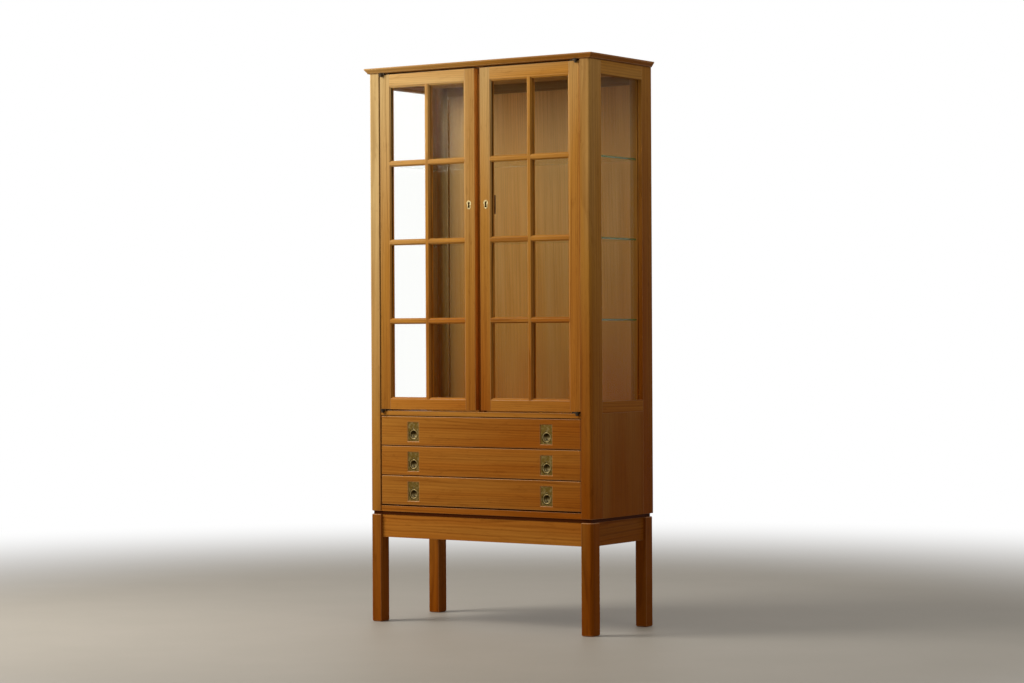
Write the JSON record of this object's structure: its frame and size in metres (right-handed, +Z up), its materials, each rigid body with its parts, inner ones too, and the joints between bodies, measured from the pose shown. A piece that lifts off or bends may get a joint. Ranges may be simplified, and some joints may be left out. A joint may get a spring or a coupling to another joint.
{
  "type": "glazed display cabinet",
  "caption": "Glazed display cabinet in honey-coloured wood: barred glass doors over drawers with flush ring pulls, glass shelves inside, on an open-legged stand.",
  "frame": {"origin": "bottom centre of the whole cabinet on the floor, centred on its width and total depth", "axes": "+Z up; the doors and drawers face -Y; +X to the right of a person who faces the front"},
  "size_m": [0.854, 0.366, 1.75],
  "materials": {
    "honey_wood": "satin lacquer",
    "panel_veneer": "satin lacquer",
    "inner_wood": "bare, lightly sealed",
    "clear_glass": "polished float glass",
    "shelf_glass": "polished float glass with ground edges",
    "aged_brass": "aged satin",
    "bolt_brass": "satin",
    "dark_bronze": "dark patina",
    "lock_case": "dark brown lacquer"
  },
  "bodies": {
    "cabinet": {"back_apron": "honey_wood", "back_frame": "honey_wood", "back_legs": "honey_wood", "back_panels": "panel_veneer", "back_posts": "honey_wood", "bottom_board": "inner_wood", "bottom_rail": "honey_wood", "carcass_top": "honey_wood", "case_hinge_leaves": "dark_bronze", "centre_mullion": "honey_wood", "corner_blocks": "inner_wood", "cornice_mouldings": "honey_wood", "cornice_spacers": "inner_wood", "display_floor": "honey_wood", "door_rail": "honey_wood", "drawer_runners": "inner_wood", "front_apron": "honey_wood", "front_left_post": "honey_wood", "front_legs": "honey_wood", "front_right_post": "honey_wood", "glass_shelves": "shelf_glass", "shadow_gap_frame": "inner_wood", "shelf_pins": "aged_brass", "side_aprons": "honey_wood", "side_glazing_beads": "honey_wood", "side_panels": "panel_veneer", "side_panes": "clear_glass", "side_rails": "honey_wood", "top_panel": "honey_wood"},
    "left_door": {"left_door_frame": "honey_wood", "left_door_glazing_bars": "honey_wood", "left_door_panes": "clear_glass", "left_door_glazing_beads": "honey_wood", "left_door_lock": "lock_case", "left_door_escutcheon": "aged_brass", "left_door_hinge_leaves": "dark_bronze"},
    "left_bolt": {"left_door_bolt": "bolt_brass"},
    "right_door": {"right_door_frame": "honey_wood", "right_door_glazing_bars": "honey_wood", "right_door_panes": "clear_glass", "right_door_glazing_beads": "honey_wood", "right_door_lock": "lock_case", "right_door_escutcheon": "aged_brass", "right_door_hinge_leaves": "dark_bronze"},
    "right_bolt": {"right_door_bolt": "bolt_brass"},
    "bottom_drawer": {"bottom_drawer_front": "honey_wood", "bottom_drawer_box": "inner_wood", "bottom_drawer_pull_plates": "aged_brass"},
    "bottom_left_ring": {"bottom_drawer_left_ring": "aged_brass"},
    "bottom_right_ring": {"bottom_drawer_right_ring": "aged_brass"},
    "middle_drawer": {"middle_drawer_front": "honey_wood", "middle_drawer_box": "inner_wood", "middle_drawer_pull_plates": "aged_brass"},
    "middle_left_ring": {"middle_drawer_left_ring": "aged_brass"},
    "middle_right_ring": {"middle_drawer_right_ring": "aged_brass"},
    "top_drawer": {"top_drawer_front": "honey_wood", "top_drawer_box": "inner_wood", "top_drawer_pull_plates": "aged_brass"},
    "top_left_ring": {"top_drawer_left_ring": "aged_brass"},
    "top_right_ring": {"top_drawer_right_ring": "aged_brass"}
  },
  "joints": [
    {"name": "left_door_hinge", "type": "hinge", "parent": "cabinet", "child": "left_door", "pos_m": [-0.36525, -0.173, 1.2], "axis": [0, 0, -1], "range_deg": [0, 170]},
    {"name": "left_bolt_slide", "type": "slide", "parent": "left_door", "child": "left_bolt", "axis": [1, 0, 0], "range_m": [0, 0.007]},
    {"name": "right_door_hinge", "type": "hinge", "parent": "cabinet", "child": "right_door", "pos_m": [0.36525, -0.173, 1.2], "axis": [0, 0, 1], "range_deg": [0, 170]},
    {"name": "right_bolt_slide", "type": "slide", "parent": "right_door", "child": "right_bolt", "axis": [-1, 0, 0], "range_m": [0, 0.007]},
    {"name": "bottom_drawer_slide", "type": "slide", "parent": "cabinet", "child": "bottom_drawer", "axis": [0, -1, 0], "range_m": [0, 0.22]},
    {"name": "bottom_left_ring_hinge", "type": "hinge", "parent": "bottom_drawer", "child": "bottom_left_ring", "pos_m": [-0.25, -0.1635, 0.4263], "axis": [-1, 0, 0], "range_deg": [0, 90]},
    {"name": "bottom_right_ring_hinge", "type": "hinge", "parent": "bottom_drawer", "child": "bottom_right_ring", "pos_m": [0.25, -0.1635, 0.4263], "axis": [-1, 0, 0], "range_deg": [0, 90]},
    {"name": "middle_drawer_slide", "type": "slide", "parent": "cabinet", "child": "middle_drawer", "axis": [0, -1, 0], "range_m": [0, 0.22]},
    {"name": "middle_left_ring_hinge", "type": "hinge", "parent": "middle_drawer", "child": "middle_left_ring", "pos_m": [-0.25, -0.1635, 0.5199], "axis": [-1, 0, 0], "range_deg": [0, 90]},
    {"name": "middle_right_ring_hinge", "type": "hinge", "parent": "middle_drawer", "child": "middle_right_ring", "pos_m": [0.25, -0.1635, 0.5199], "axis": [-1, 0, 0], "range_deg": [0, 90]},
    {"name": "top_drawer_slide", "type": "slide", "parent": "cabinet", "child": "top_drawer", "axis": [0, -1, 0], "range_m": [0, 0.22]},
    {"name": "top_left_ring_hinge", "type": "hinge", "parent": "top_drawer", "child": "top_left_ring", "pos_m": [-0.25, -0.1635, 0.6135], "axis": [-1, 0, 0], "range_deg": [0, 90]},
    {"name": "top_right_ring_hinge", "type": "hinge", "parent": "top_drawer", "child": "top_right_ring", "pos_m": [0.25, -0.1635, 0.6135], "axis": [-1, 0, 0], "range_deg": [0, 90]}
  ]
}
